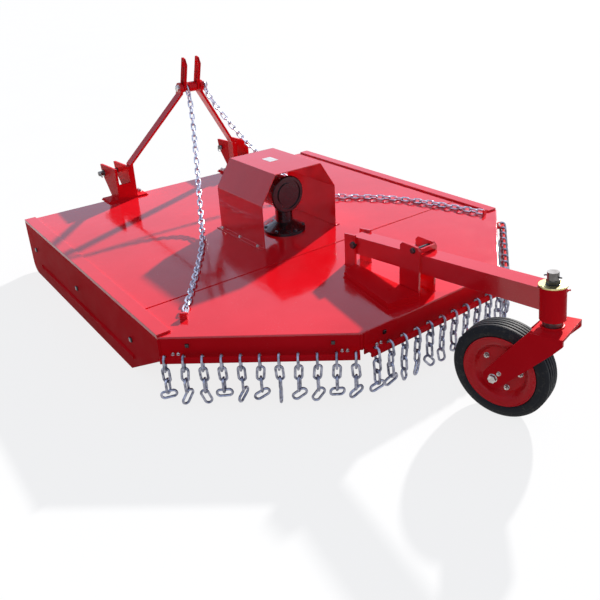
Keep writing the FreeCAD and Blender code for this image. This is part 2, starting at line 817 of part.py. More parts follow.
fork = fork.cut(cylinder(axle_point - V(0, fork_outer, 0), forward, axle_radius, 2 * fork_outer))
parts["fork"] = in_castor(fork)
axle = join([
    cylinder(axle_point - V(0, fork_outer, 0), forward, axle_radius, 2 * fork_outer),
    cylinder(axle_point - V(0, fork_outer + axle_head_width, 0), forward, axle_head_radius, axle_head_width),
    cylinder(axle_point + V(0, fork_outer, 0), forward, axle_head_radius, axle_head_width),
])
parts["axle"] = in_castor(axle)

# Rim: hub tube, disc, drop centre and flanges, with the tyre between the flanges
# Half profiles are (half width, radius)
bore = axle_radius + running_fit
rim_half = [
    (rim_hub_half, bore), (rim_hub_half, rim_hub_radius), (rim_disc_half, rim_hub_radius),
    (rim_disc_half, rim_disc_radius), (rim_well_half, rim_well_radius), (rim_flange_half, rim_well_radius),
    (rim_flange_half, rim_flange_radius), (rim_seat_half, rim_flange_radius),
    (rim_seat_half, rim_seat_radius),
]
tyre_half_profile = [
    (rim_seat_half, rim_seat_radius), (rim_seat_half, tyre_bead_radius), (tyre_half, tyre_wall_radius),
    (tyre_half, tyre_shoulder_radius), (tread_half, tyre_radius),
]


def wheel_piece(half_profile):
    points = half_profile + [(-half, radius) for half, radius in reversed(half_profile)]
    return in_castor(turned([(radius, half) for half, radius in points], axle_point, forward))


parts["rim"] = wheel_piece(rim_half)
parts["tyre"] = wheel_piece(tyre_half_profile)

# The middle of the standing outline is the origin
whole = Part.makeCompound(list(parts.values())).BoundBox
shift = V(-(whole.XMin + whole.XMax) / 2, -(whole.YMin + whole.YMax) / 2, -whole.ZMin)
os.makedirs("parts", exist_ok=True)
for node, shape in parts.items():
    placed = shape.copy()
    placed.translate(shift)
    placed.exportStep("parts/" + node + ".step")
print("shift", shift, "size", whole.XLength, whole.YLength, whole.ZLength, "zmin", whole.ZMin)
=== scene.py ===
import bpy
import bmesh
import json
import math
import random
from mathutils import Matrix, Vector


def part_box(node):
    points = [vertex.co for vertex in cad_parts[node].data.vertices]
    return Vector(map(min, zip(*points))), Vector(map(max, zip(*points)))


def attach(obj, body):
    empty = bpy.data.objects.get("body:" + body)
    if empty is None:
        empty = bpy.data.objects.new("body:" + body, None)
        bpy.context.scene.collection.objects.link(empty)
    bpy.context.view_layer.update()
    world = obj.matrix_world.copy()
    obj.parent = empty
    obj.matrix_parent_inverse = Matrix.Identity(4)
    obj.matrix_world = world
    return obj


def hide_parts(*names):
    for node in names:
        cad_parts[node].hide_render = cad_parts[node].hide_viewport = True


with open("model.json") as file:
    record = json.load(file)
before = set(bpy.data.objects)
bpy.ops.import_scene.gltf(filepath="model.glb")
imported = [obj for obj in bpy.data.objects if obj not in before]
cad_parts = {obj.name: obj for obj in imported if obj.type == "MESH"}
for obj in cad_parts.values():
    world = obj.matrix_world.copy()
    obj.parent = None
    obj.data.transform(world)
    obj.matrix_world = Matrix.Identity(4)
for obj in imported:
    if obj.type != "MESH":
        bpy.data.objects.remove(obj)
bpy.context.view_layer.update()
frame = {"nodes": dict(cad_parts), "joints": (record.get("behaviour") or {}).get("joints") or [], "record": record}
mm = 0.001
upward = Vector((0, 0, 1))
sideways = Vector((1, 0, 0))

# Measured places below are in millimetres from the deck's own zero: x to the machine's right,
# y forward with the deck's front edge at 900, z up from the ground.
deckFrontY = 900.0
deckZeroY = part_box("deck_plate")[1].y - deckFrontY * mm
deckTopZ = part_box("deck_plate")[1].z / mm


def at(x, y, z):
    return Vector((x * mm, y * mm + deckZeroY, z * mm))


# The leaning castor has its own directions: ahead, left along the axle, and up the spindle
joints = {joint["name"]: joint for joint in frame["joints"]}
castorUp = Vector(joints["castor_swivel"]["axis"]).normalized()
wheelAxis = Vector(joints["wheel_spin"]["axis"]).normalized()
castorAhead = wheelAxis.cross(castorUp).normalized()
tubeTop = Vector(joints["castor_swivel"]["pos_m"])
wheelCentre = Vector(joints["wheel_spin"]["pos_m"])
castorFrame = Matrix.Translation(tubeTop) @ Matrix((castorAhead, wheelAxis, castorUp)).transposed().to_4x4()


def onCastor(ahead, left, up):
    return castorFrame @ Vector((ahead * mm, left * mm, up * mm))


white = (1.0, 1.0, 1.0, 1.0)


def colour(text):
    # sRGB hex to linear values.
    parts = [int(text[i:i + 2], 16) / 255.0 for i in (1, 3, 5)]
    linear = [part / 12.92 if part <= 0.04045 else ((part + 0.055) / 1.055) ** 2.4 for part in parts]
    return tuple(linear + [1.0])


def feed(tree, node, links):
    for key, source in links.items():
        tree.links.new(source, node.inputs[key])


def addNode(tree, kind, settings=None, links=None):
    # Settings are inputs by name or number, the node's own values, or the two stops of a colour ramp.
    node = tree.nodes.new(kind)
    for key, value in (settings or {}).items():
        if key == "stops":
            for stop, (place, shade) in zip(node.color_ramp.elements, value):
                stop.position = place
                stop.color = colour(shade) if isinstance(shade, str) else (shade, shade, shade, 1.0)
        elif isinstance(key, int) or key in node.inputs:
            node.inputs[key].default_value = value
        else:
            setattr(node, key, value)
    feed(tree, node, links or {})
    return node


def seenRays(tree):
    # 1 for the rays that show the background: from the camera, in gloss and through glass.
    path = addNode(tree, "ShaderNodeLightPath")
    first = addNode(tree, "ShaderNodeMath", {"operation": "MAXIMUM"},
                    {0: path.outputs["Is Camera Ray"], 1: path.outputs["Is Glossy Ray"]})
    return addNode(tree, "ShaderNodeMath", {"operation": "MAXIMUM"},
                   {0: first.outputs[0], 1: path.outputs["Is Transmission Ray"]}).outputs[0]


# Camera: angles in degrees, lens and sensor in millimetres, clip start in metres
view = {"place": (-1829.0, -2882.6, 1588.7), "yaw": 36.245, "pitch": 23.939, "roll": -2.705,
        "lens": 40.10, "sensor": 36.0, "shiftX": -0.00924, "shiftY": -0.0765, "clipStart": 0.05}


def makeCamera():
    data = bpy.data.cameras.new("camera")
    data.lens = view["lens"]
    data.sensor_width = view["sensor"]
    data.shift_x = view["shiftX"]
    data.shift_y = view["shiftY"]
    data.clip_start = view["clipStart"]
    camera = bpy.data.objects.new("camera", data)
    bpy.context.scene.collection.objects.link(camera)
    turn = Matrix.Rotation(math.radians(-view["yaw"]), 4, "Z")
    turn = turn @ Matrix.Rotation(math.radians(90.0 - view["pitch"]), 4, "X")
    turn = turn @ Matrix.Rotation(math.radians(view["roll"]), 4, "Z")
    camera.matrix_world = Matrix.Translation(at(*view["place"])) @ turn
    bpy.context.scene.camera = camera


# Light: a sun, a soft lamp that faces the middle of the machine, and a pale room; places in metres
light = {"towardKey": (2.28, 0.96, 1.2), "keyAngle": 2.0, "keyStrength": 6.0, "keyTint": (1.0, 0.97, 0.93),
         "fillFrom": (-3.2, -4.2, 4.0), "fillSize": 3.5, "fillWatts": 34.0, "fillTint": (0.95, 0.97, 1.0),
         "worldStrength": 0.3, "skyTint": (0.72, 0.85, 1.12, 1.0)}


def addLamp(name, kind, energy, tint, matrix):
    data = bpy.data.lights.new(name, kind)
    data.energy = energy
    data.color = tint
    lamp = bpy.data.objects.new(name, data)
    bpy.context.scene.collection.objects.link(lamp)
    lamp.matrix_world = matrix
    return data


def makeLamps():
    turn = Vector(light["towardKey"]).to_track_quat("Z", "Y").to_matrix().to_4x4()
    key = addLamp("keyLamp", "SUN", light["keyStrength"], light["keyTint"], turn)
    key.angle = math.radians(light["keyAngle"])
    place = Vector(light["fillFrom"])
    turn = (-place).to_track_quat("-Z", "Y").to_matrix().to_4x4()
    fill = addLamp("fillLamp", "AREA", light["fillWatts"], light["fillTint"],
                   Matrix.Translation(place) @ turn)
    fill.shape = "DISK"
    fill.size = light["fillSize"]


def makeRoom():
    # White to the camera, bright as a pale blue sky in gloss, and dim on dull faces.
    world = bpy.data.worlds.new("paleRoom")
    bpy.context.scene.world = world
    world.use_nodes = True
    tree = world.node_tree
    path = addNode(tree, "ShaderNodeLightPath")
    tint = addNode(tree, "ShaderNodeMix", {"data_type": "RGBA", 6: light["skyTint"], 7: white},
                   {0: path.outputs["Is Camera Ray"]})
    strength = addNode(tree, "ShaderNodeMapRange", {"To Min": light["worldStrength"], "To Max": 1.0},
                       {"Value": seenRays(tree)})
    feed(tree, tree.nodes["Background"], {"Color": tint.outputs[2], "Strength": strength.outputs[0]})


bpy.context.scene.view_settings.view_transform = "Standard"
print("stage: camera and light")
makeCamera()
makeLamps()
makeRoom()


# Materials: the sizes and heights of their patterns are in millimetres
def newMaterial(name, settings):
    material = bpy.data.materials.new(name)
    material.use_nodes = True
    tree = material.node_tree
    bsdf = tree.nodes["Principled BSDF"]
    for key, value in settings.items():
        bsdf.inputs[key].default_value = value
    return material, tree, bsdf, addNode(tree, "ShaderNodeTexCoord").outputs["Object"]


def patches(tree, place, size, stops, detail=3.0, rough=0.5):
    # Cloudy patches of a real size, which two stops turn into tones or amounts.
    cloud = addNode(tree, "ShaderNodeTexNoise",
                    {"Scale": 1.0 / mm / size, "Detail": detail, "Roughness": rough}, {"Vector": place})
    tone = addNode(tree, "ShaderNodeValToRGB", {"stops": stops}, {"Fac": cloud.outputs["Fac"]})
    return tone.outputs["Color"]


def relief(tree, place, size, height, strength, detail=3.0, rough=0.5, over=None):
    # Grain of a real size and height, laid over another relief where one is given.
    cloud = addNode(tree, "ShaderNodeTexNoise",
                    {"Scale": 1.0 / mm / size, "Detail": detail, "Roughness": rough}, {"Vector": place})
    links = {"Height": cloud.outputs["Fac"]}
    if over is not None:
        links["Normal"] = over
    bump = addNode(tree, "ShaderNodeBump", {"Distance": height * mm, "Strength": strength}, links)
    return bump.outputs["Normal"]


# The spray's passes and the films of dust are as wide as on real sheets. Orange peel is about 3 mm wide
# and grit under 1 mm: they are drawn at 9 and 5 mm, because they wouldn't show otherwise.
enamel = {"pass": 420.0, "passHigh": 6.0, "film": 140.0, "grit": 5.0, "sheen": 90.0, "sheenSpread": 0.16,
          "peel": 9.0, "peelHigh": 0.12, "relief": 0.25, "coatRough": 0.03, "coatIor": 1.5}


def sprayedEnamel(name, look):
    # Sprayed alkyd enamel on steel plate: wet gloss with a faint orange peel, thin dust in the lows.
    spray = enamel
    material, tree, bsdf, place = newMaterial(name, {
        "Coat Weight": look["coat"], "Coat Roughness": spray["coatRough"], "Coat IOR": spray["coatIor"],
        "IOR": look["ior"]})
    tone = patches(tree, place, spray["pass"], [(0.35, look["deep"]), (0.68, look["pale"])], 4.0, 0.55)
    grit = patches(tree, place, spray["grit"], [(0.62, 0.0), (0.78, 1.0)], 2.0)
    film = patches(tree, place, spray["film"], [(0.48, 0.0), (0.75, 1.0)], 6.0, 0.65)
    both = addNode(tree, "ShaderNodeMath", {"operation": "MULTIPLY"}, {0: grit, 1: film})
    amount = addNode(tree, "ShaderNodeMath", {"operation": "MULTIPLY", 1: look["dustShare"]},
                     {0: both.outputs[0]})
    dusty = addNode(tree, "ShaderNodeMix", {"data_type": "RGBA", 7: colour(look["dust"])},
                    {0: amount.outputs[0], 6: tone})
    sheen = patches(tree, place, spray["sheen"],
                    [(0.3, look["rough"]), (0.8, look["rough"] + spray["sheenSpread"])], 5.0, 0.6)
    peel = relief(tree, place, spray["peel"], spray["peelHigh"], spray["relief"], 2.0)
    waves = relief(tree, place, spray["pass"], spray["passHigh"], spray["relief"], 4.0, 0.55, peel)
    feed(tree, bsdf, {"Base Color": dusty.outputs[2], "Roughness": sheen, "Normal": waves})
    return material


# The bloom is about half as wide as a link. Rubbing marks are under 1 mm wide, drawn at 2.5 mm to show.
zinc = {"bloom": 16.0, "duller": 0.18, "rub": 2.5, "rubHigh": 0.15, "relief": 0.35}


def zincPlate(name, bright, dull, rough):
    # Electroplated zinc: grey metal with a duller bloom in cloudy patches, and fine rubbing marks in its relief.
    material, tree, bsdf, place = newMaterial(name, {"Metallic": 1.0})
    tone = patches(tree, place, zinc["bloom"], [(0.32, dull), (0.62, bright)], 5.0, 0.6)
    sheen = patches(tree, place, zinc["bloom"], [(0.3, rough + zinc["duller"]), (0.7, rough)], 5.0, 0.6)
    rub = relief(tree, place, zinc["rub"], zinc["rubHigh"], zinc["relief"])
    feed(tree, bsdf, {"Base Color": tone, "Roughness": sheen, "Normal": rub})
    return material


# The sand grain of a casting is about 1 mm, drawn at 4 mm to show.
castIron = {"stain": 60.0, "sheen": 25.0, "rough": (0.16, 0.34), "sand": 4.0, "sandHigh": 0.35, "relief": 0.4}


def blackEnamel():
    # Semi-gloss black enamel over cast iron: the casting's grain shows through.
    iron = castIron
    material, tree, bsdf, place = newMaterial("blackEnamelOnCastIron", {
        "IOR": 1.5, "Coat Weight": 0.3, "Coat Roughness": 0.12})
    tone = patches(tree, place, iron["stain"], [(0.3, "#0B0B0C"), (0.75, "#232122")], 4.0)
    sheen = patches(tree, place, iron["sheen"], [(0.3, iron["rough"][0]), (0.8, iron["rough"][1])], 4.0)
    sand = relief(tree, place, iron["sand"], iron["sandHigh"], iron["relief"], 4.0, 0.6)
    feed(tree, bsdf, {"Base Color": tone, "Roughness": sheen, "Normal": sand})
    return material


# The mould's grain is under 1 mm, drawn at 3 mm to show.
moulded = {"stain": 50.0, "dust": 22.0, "dustShare": 0.3, "grain": 3.0, "grainHigh": 0.25, "relief": 0.4}


def tyreRubber():
    # Moulded natural rubber, grey-black, with pale dust left on the tops of the ribs.
    material, tree, bsdf, place = newMaterial("mouldedRubberWithDust", {
        "IOR": 1.5, "Roughness": 0.62, "Specular IOR Level": 0.22})
    tone = patches(tree, place, moulded["stain"], [(0.3, "#0D0E11"), (0.8, "#1C1C20")], 4.0)
    film = patches(tree, place, moulded["dust"], [(0.54, 0.0), (0.76, moulded["dustShare"])], 6.0, 0.7)
    dusty = addNode(tree, "ShaderNodeMix", {"data_type": "RGBA", 7: colour("#8C8577")}, {0: film, 6: tone})
    grain = relief(tree, place, moulded["grain"], moulded["grainHigh"], moulded["relief"], 4.0)
    feed(tree, bsdf, {"Base Color": dusty.outputs[2], "Normal": grain})
    return material


# Tool marks are under 0.5 mm apart, drawn at 3 mm to show.
cutSteel = {"stain": 30.0, "rust": 55.0, "rustShare": 0.7, "rough": (0.34, 0.75), "marks": 3.0,
            "marksHigh": 0.1, "relief": 0.3}


def groundSteel():
    # Turned and cut steel, bare: dark grey with machining sheen and a little brown rust.
    steel = cutSteel
    material, tree, bsdf, place = newMaterial("bareMachinedSteel", {"Metallic": 1.0})
    tone = patches(tree, place, steel["stain"], [(0.3, "#4B4743"), (0.6, "#75726F")], 5.0, 0.6)
    rust = patches(tree, place, steel["rust"], [(0.58, 0.0), (0.74, steel["rustShare"])], 6.0, 0.7)
    rusty = addNode(tree, "ShaderNodeMix", {"data_type": "RGBA", 7: colour("#5A3A28")}, {0: rust, 6: tone})
    sheen = addNode(tree, "ShaderNodeValToRGB",
                    {"stops": [(0.0, steel["rough"][0]), (1.0, steel["rough"][1])]}, {"Fac": rust})
    marks = relief(tree, place, steel["marks"], steel["marksHigh"], steel["relief"])
    feed(tree, bsdf, {"Base Color": rusty.outputs[2], "Roughness": sheen.outputs["Color"], "Normal": marks})
    return material


vinyl = {"chalk": 18.0, "waves": 12.0, "wavesHigh": 0.1, "relief": 0.3}


def vinylLabel():
    # Blank white vinyl sticker: slightly chalky, and not quite flat where it was pressed on by hand.
    material, tree, bsdf, place = newMaterial("whiteVinyl", {"IOR": 1.46, "Roughness": 0.35})
    tone = patches(tree, place, vinyl["chalk"], [(0.3, "#D9D6D2"), (0.7, "#F4F3F1")], 5.0)
    waves = relief(tree, place, vinyl["waves"], vinyl["wavesHigh"], vinyl["relief"], 2.0)
    feed(tree, bsdf, {"Base Color": tone, "Normal": waves})
    return material


print("stage: materials")
redEnamel = sprayedEnamel("glossRedEnamel", {
    "deep": "#E2101C", "pale": "#EE1A27", "dust": "#F0B9B4", "dustShare": 0.3,
    "rough": 0.06, "coat": 0.17, "ior": 1.46})
redEnamelBars = sprayedEnamel("satinRedEnamelOnBarsAndRim", {
    "deep": "#DC0F1A", "pale": "#EA1825", "dust": "#CDB7A4", "dustShare": 0.4,
    "rough": 0.2, "coat": 0.0, "ior": 1.3})
# The sides' IOR is below that of real enamel, or the floor, white in gloss, would turn their red to pink.
redEnamelSide = sprayedEnamel("glossRedEnamelOnSides", {
    "deep": "#DE101B", "pale": "#E91824", "dust": "#E0A9A2", "dustShare": 0.25,
    "rough": 0.26, "coat": 0.0, "ior": 1.1})
# The skirts slide on the ground and are rubbed dull.
redEnamelSkirt = sprayedEnamel("rubbedRedEnamelOnSkirts", {
    "deep": "#DE101B", "pale": "#E91824", "dust": "#E0A9A2", "dustShare": 0.3,
    "rough": 0.34, "coat": 0.0, "ior": 1.04})
blackCoat = blackEnamel()
# The guard chains' zinc is drawn darker and bluer than the long chains' and the bolts' zinc. That is painted
# shade, for the shade they hang in on the rear sides.
guardChainZincPaintedShade = zincPlate("zincOnGuardChainWithPaintedShade", "#A9AAB8", "#575866", 0.24)
longChainZinc = zincPlate("brightZincOnLongChain", "#DDDCE4", "#8B8B9A", 0.26)
boltZinc = zincPlate("brightZincOnBolts", "#CFCBC6", "#9A948E", 0.2)
yellowZinc = zincPlate("yellowPassivatedZinc", "#D8C98F", "#A3925A", 0.24)
bareSteel = groundSteel()
rubber = tyreRubber()
whiteVinyl = vinylLabel()
finishes = {"red_paint": redEnamel, "black_paint": blackCoat, "zinc": guardChainZincPaintedShade, "yellow_zinc": yellowZinc,
            "bare_steel": bareSteel, "tyre_rubber": rubber}

# Floor: half a side in metres; white to the camera and in gloss, and a grey bounce on the machine
floor = {"halfSide": 60.0, "whiteShare": 0.82, "bounce": "#8F8F91", "mottle": 900.0}


def floorMaterial():
    # Plain pale studio floor: shows white to the camera and in gloss, and keeps the shadow.
    material, tree, bsdf, place = newMaterial("paleFloor", {"Roughness": 0.9, "Specular IOR Level": 0.1})
    seen = seenRays(tree)
    pale = patches(tree, place, floor["mottle"], [(0.3, "#F1F1F2"), (0.7, "#F5F5F5")])
    base = addNode(tree, "ShaderNodeMix", {"data_type": "RGBA", 6: colour(floor["bounce"])},
                   {0: seen, 7: pale})
    feed(tree, bsdf, {"Base Color": base.outputs[2]})
    glow = addNode(tree, "ShaderNodeEmission", {"Color": white})
    lift = addNode(tree, "ShaderNodeMath", {"operation": "MULTIPLY", 1: floor["whiteShare"]}, {0: seen})
    both = addNode(tree, "ShaderNodeMixShader",
                   links={0: lift.outputs[0], 1: bsdf.outputs[0], 2: glow.outputs[0]})
    feed(tree, tree.nodes["Material Output"], {"Surface": both.outputs[0]})
    return material


def makeFloor():
    mesh = bpy.data.meshes.new("floor")
    half = floor["halfSide"]
    corners = [(-half, -half, 0), (half, -half, 0), (half, half, 0), (-half, half, 0)]
    mesh.from_pydata(corners, [], [(0, 1, 2, 3)])
    mesh.materials.append(floorMaterial())
    ground = bpy.data.objects.new("floor", mesh)
    bpy.context.scene.collection.objects.link(ground)


print("stage: floor")
makeFloor()

# Mesh helpers: sizes are in millimetres, points and matrices in metres
sharpFrom = 38.0  # degrees between two faces from which their edge shows sharp


def finishPiece(mesh, name, body, material, replaced=()):
    data = bpy.data.meshes.new(name)
    bmesh.ops.recalc_face_normals(mesh, faces=mesh.faces)
    mesh.to_mesh(data)
    mesh.free()
    data.polygons.foreach_set("use_smooth", [True] * len(data.polygons))
    data.set_sharp_from_angle(angle=math.radians(sharpFrom))
    data.materials.append(material)
    piece = bpy.data.objects.new(name, data)
    bpy.context.scene.collection.objects.link(piece)
    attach(piece, body)
    if replaced:
        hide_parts(*replaced)


def bridge(mesh, rings, closed=False, foot=True):
    # Faces from each ring of points to the next. Closed, the last joins the first; open, the ends are flat.
    pairs = list(zip(rings, rings[1:]))
    if closed:
        pairs.append((rings[-1], rings[0]))
    for first, second in pairs:
        for here in range(len(first)):
            after = (here + 1) % len(first)
            mesh.faces.new((first[here], first[after], second[after], second[here]))
    if not closed:
        if foot:
            mesh.faces.new(rings[0])
        mesh.faces.new(rings[-1])


def facing(origin, direction):
    return Matrix.Translation(origin) @ direction.to_track_quat("Z", "Y").to_matrix().to_4x4()


def addLink(mesh, centre, along, side, size):
    # One welded link: a stadium-shaped centre line with a round wire swept along it.
    out = along.cross(side)
    bend = (size["wide"] - size["wire"]) / 2 * mm
    straight = (size["long"] - size["wide"]) / 2 * mm
    wire = size["wire"] / 2 * mm
    rings = []
    for step in range(size["steps"]):
        angle = 2.0 * math.pi * (step + 0.5) / size["steps"]
        cosine, sine = math.cos(angle), math.sin(angle)
        middle = centre + along * (bend * cosine + math.copysign(straight, cosine)) + side * (bend * sine)
        outward = along * cosine + side * sine
        ring = []
        for turn in range(size["sides"]):
            around = 2.0 * math.pi * turn / size["sides"]
            place = middle + outward * (wire * math.cos(around)) + out * (wire * math.sin(around))
            ring.append(mesh.verts.new(place))
        rings.append(ring)
    bridge(mesh, rings, True)


def revolve(mesh, profile, matrix, steps, closed=False):
    # Profile points are (radius, height) about the matrix's z axis.
    rings = []
    for radius, height in profile:
        ring = []
        for step in range(steps):
            angle = 2.0 * math.pi * step / steps
            place = Vector((radius * math.cos(angle) * mm, radius * math.sin(angle) * mm, height * mm))
            ring.append(mesh.verts.new(matrix @ place))
        rings.append(ring)
    bridge(mesh, rings, closed)


# Hexagon bolts: radii are shares of the width across the flats, the rest is in millimetres
hexBolt = {"washer": 0.62, "washerTop": 0.58, "washerSide": 1.6, "washerThick": 2.2, "washerSteps": 20,
           "headFoot": 1.8, "chamfer": 1.2, "headTop": 0.9,
           "shank": 0.3, "shankTip": 0.24, "shankFoot": 1.0, "shankChamfer": 1.5, "shankSteps": 14}


def addHexBolt(mesh, origin, direction, acrossFlats, thick, shank=0.0):
    # Hexagon head with its chamfered top, on a round washer, and a shank end where one shows.
    bolt = hexBolt
    matrix = facing(origin, direction)
    corner = acrossFlats / 2 / math.cos(math.pi / 6)
    revolve(mesh, [(acrossFlats * bolt["washer"], 0.0), (acrossFlats * bolt["washer"], bolt["washerSide"]),
                   (acrossFlats * bolt["washerTop"], bolt["washerThick"])], matrix, bolt["washerSteps"])
    revolve(mesh, [(corner, bolt["headFoot"]), (corner, thick - bolt["chamfer"]),
                   (corner * bolt["headTop"], thick)], matrix, 6)
    if shank:
        revolve(mesh, [(acrossFlats * bolt["shank"], thick - bolt["shankFoot"]),
                       (acrossFlats * bolt["shank"], thick + shank - bolt["shankChamfer"]),
                       (acrossFlats * bolt["shankTip"], thick + shank)], matrix, bolt["shankSteps"])


squareBolt = {"chamfer": 2.0, "headTop": 0.84}


def addSquareBolt(mesh, origin, direction, size, thick):
    matrix = facing(origin, direction) @ Matrix.Rotation(math.pi / 4, 4, "Z")
    corner = size / 2 * math.sqrt(2.0)
    revolve(mesh, [(corner, 0.0), (corner, thick - squareBolt["chamfer"]),
                   (corner * squareBolt["headTop"], thick)], matrix, 4)


def addTube(mesh, points, radius, sides=8, closed=False, ripple=0.0):
    # Round bar along the points; ripple swells every other ring, as a hand-laid weld bead does.
    rings = []
    side = None
    for index, point in enumerate(points):
        before = points[index - 1] if index or closed else point
        after = points[(index + 1) % len(points)] if index < len(points) - 1 or closed else point
        along = (after - before).normalized()
        if side is None:
            side = along.orthogonal().normalized()
        else:
            side = (side - along * side.dot(along)).normalized()
        out = along.cross(side)
        size = radius * mm * (1.0 + ripple * (index % 2))
        ring = []
        for step in range(sides):
            angle = 2 * math.pi * step / sides
            place = point + side * (size * math.cos(angle)) + out * (size * math.sin(angle))
            ring.append(mesh.verts.new(place))
        rings.append(ring)
    bridge(mesh, rings, closed)


def addStrip(mesh, start, end, outward, outline):
    # Folded strip: an outline of (outwards, up) in millimetres carried from start to end.
    rings = [[mesh.verts.new(place + outward * (out * mm) + upward * (up * mm)) for out, up in outline]
             for place in (start, end)]
    bridge(mesh, rings)


# The deck's rear outline: its widest points and its two rear corners
deckSize = {"halfWidth": 1000.0, "sideEnd": -780.0, "rear": -1266.0, "rearHalf": 399.0}


def rearSides():
    # Name, two corners, and the directions along and outwards, for each of the three rear sides.
    deck = deckSize
    corners = [at(-deck["halfWidth"], deck["sideEnd"], 0), at(-deck["rearHalf"], deck["rear"], 0),
               at(deck["rearHalf"], deck["rear"], 0), at(deck["halfWidth"], deck["sideEnd"], 0)]
    sides = []
    for name, end, start in zip(("left", "rear", "right"), corners, corners[1:]):
        along = (end - start).normalized()
        sides.append((name, start, end, along, Vector((-along.y, along.x, 0.0))))
    return sides


# Guard chains on the three rear sides: a top link round the bar and three links below it; angles in degrees
guardChain = {"link": {"long": 71.0, "wide": 38.0, "wire": 10.6, "steps": 20, "sides": 8},
              "count": 11, "pitch": 72.0, "out": 39.0, "topZ": 211.0, "levels": [161.4, 111.8, 62.2],
              "lean": (5.0, 12.0), "sway": 7.0, "turn": 16.0, "endTurn": 20.0, "endRoll": 75.0, "seed": 4}
# How each last link of the left side lies: turned about the vertical and rolled in its own plane, degrees
leftEnds = [(8, 80), (40, 35), (10, -20), (0, 85), (60, 60), (12, 62), (85, 5), (0, 52), (5, 36),
            (25, -75), (35, 70)]


def hangChain(mesh, foot, along, outward, seeded, end):
    chain = guardChain
    size = chain["link"]
    line = foot + outward * (chain["out"] * mm)
    lean = math.radians(seeded.uniform(*chain["lean"]))
    tall = upward * math.cos(lean) - outward * math.sin(lean)
    addLink(mesh, line + upward * (chain["topZ"] * mm), tall, outward, size)
    innerEnd = (size["long"] / 2 - size["wire"]) * mm
    innerSide = (size["wide"] / 2 - size["wire"]) * mm
    for index, level in enumerate(chain["levels"]):
        roll = math.radians(seeded.uniform(-chain["sway"], chain["sway"]))
        turn = math.radians(seeded.uniform(-chain["turn"], chain["turn"]))
        turn += math.pi / 2 if index == 1 else 0.0
        lift = 0.0
        if index == len(chain["levels"]) - 1:
            # The last link lies more loosely, and still hangs in the one above.
            turn, roll = math.radians(end[0]), math.radians(end[1])
            lift = innerEnd - (innerEnd * abs(math.cos(roll)) + innerSide * abs(math.sin(roll)))
        face = along * math.cos(turn) + outward * math.sin(turn)
        tall = upward * math.cos(roll) - face * math.sin(roll)
        wide = upward * math.sin(roll) + face * math.cos(roll)
        addLink(mesh, line + upward * (level * mm + lift), tall, wide, size)


def makeGuardChains():
    chain = guardChain
    seeded = random.Random(chain["seed"])
    for name, start, end, along, outward in rearSides():
        first = ((end - start).length - chain["pitch"] * mm * (chain["count"] - 1)) / 2
        mesh = bmesh.new()
        for index in range(chain["count"]):
            foot = start + along * (first + chain["pitch"] * mm * index)
            if name == "left":
                lie = leftEnds[-1 - index]
            else:
                lie = (seeded.uniform(-chain["endTurn"], chain["endTurn"]),
                       seeded.uniform(-chain["endRoll"], chain["endRoll"]))
            hangChain(mesh, foot, along, outward, seeded, lie)
        finishPiece(mesh, "hungChains_" + name, "deck", guardChainZincPaintedShade, ["guard_chains_" + name])


# Long chains from the apex bolt to the rear corners: they hang, then lie on the deck; angles in degrees
apexY = 665.0
apexZ = 933.0
lieZ = deckTopZ + 12.0
longChain = {"link": {"long": 54.0, "wide": 32.0, "wire": 8.8, "steps": 18, "sides": 8},
             "ring": {"long": 60.0, "wide": 46.0, "wire": 8.0, "steps": 24, "sides": 8},
             "pitch": 36.5, "curveSteps": 24, "ringBehind": 6.0, "ringBelow": 8.0,
             "ringAlong": (0, -0.45, -0.9), "ringSide": (0, 0.9, -0.45),
             "lieWithin": 6.0, "lieTurn": 45.0, "hangTurn": 20.0, "twist": 10.0, "twistStep": 2.3}
leftRoute = [(-26.0, 653.0, 921.0), (-26.0, 627.0, 871.0), (-130.0, 430.0, 620.0), (-250.0, 215.0, 430.0),
             (-350.0, 30.0, 340.0), (-432.0, -124.0, lieZ), (-649.0, -440.0, lieZ),
             (-850.0, -712.0, lieZ)]
rightRoute = [(90.0, 653.0, 921.0), (90.0, 627.0, 871.0), (190.0, 470.0, 640.0), (300.0, 280.0, 440.0),
              (400.0, 110.0, 340.0), (500.0, -39.0, lieZ), (599.0, -129.0, lieZ),
              (738.0, -313.0, lieZ), (824.0, -536.0, lieZ), (895.0, -778.0, lieZ)]


def smoothRoute(name, route):
    curve = bpy.data.curves.new(name, "CURVE")
    curve.dimensions = "3D"
    curve.resolution_u = longChain["curveSteps"]
    line = curve.splines.new("NURBS")
    line.points.add(len(route) - 1)
    for point, place in zip(line.points, route):
        point.co = (*at(*place), 1.0)
    line.order_u = 3
    line.use_endpoint_u = True
    holder = bpy.data.objects.new(name, curve)
    mesh = bpy.data.meshes.new_from_object(holder)
    points = [vertex.co.copy() for vertex in mesh.vertices]
    bpy.data.objects.remove(holder)
    return points


def alongRoute(points, pitch):
    # Places one pitch apart along the points, each with its direction.
    places, left = [], pitch / 2
    for first, second in zip(points, points[1:]):
        length = (second - first).length
        while left <= length:
            places.append((first.lerp(second, left / length), (second - first).normalized()))
            left += pitch
        left -= length
    return places


def makeLongChain(name, route):
    chain = longChain
    mesh = bmesh.new()
    ringPlace = at(route[0][0], apexY - chain["ringBehind"], apexZ - chain["ringBelow"])
    ringAlong, ringSide = Vector(chain["ringAlong"]).normalized(), Vector(chain["ringSide"]).normalized()
    addLink(mesh, ringPlace, ringAlong, ringSide, chain["ring"])
    for index, (place, along) in enumerate(alongRoute(smoothRoute(name, route), chain["pitch"] * mm)):
        side = along.cross(upward).normalized()
        start = chain["lieTurn"] if place.z < (lieZ + chain["lieWithin"]) * mm else chain["hangTurn"]
        twist = chain["twist"] * math.sin(index * chain["twistStep"])
        turn = math.radians(start + 90.0 * (index % 2) + twist)
        wide = side * math.cos(turn) + side.cross(along) * math.sin(turn)
        addLink(mesh, place, along, wide, chain["link"])
    finishPiece(mesh, "looseChain_" + name, "deck", longChainZinc, ["long_chain_" + name])


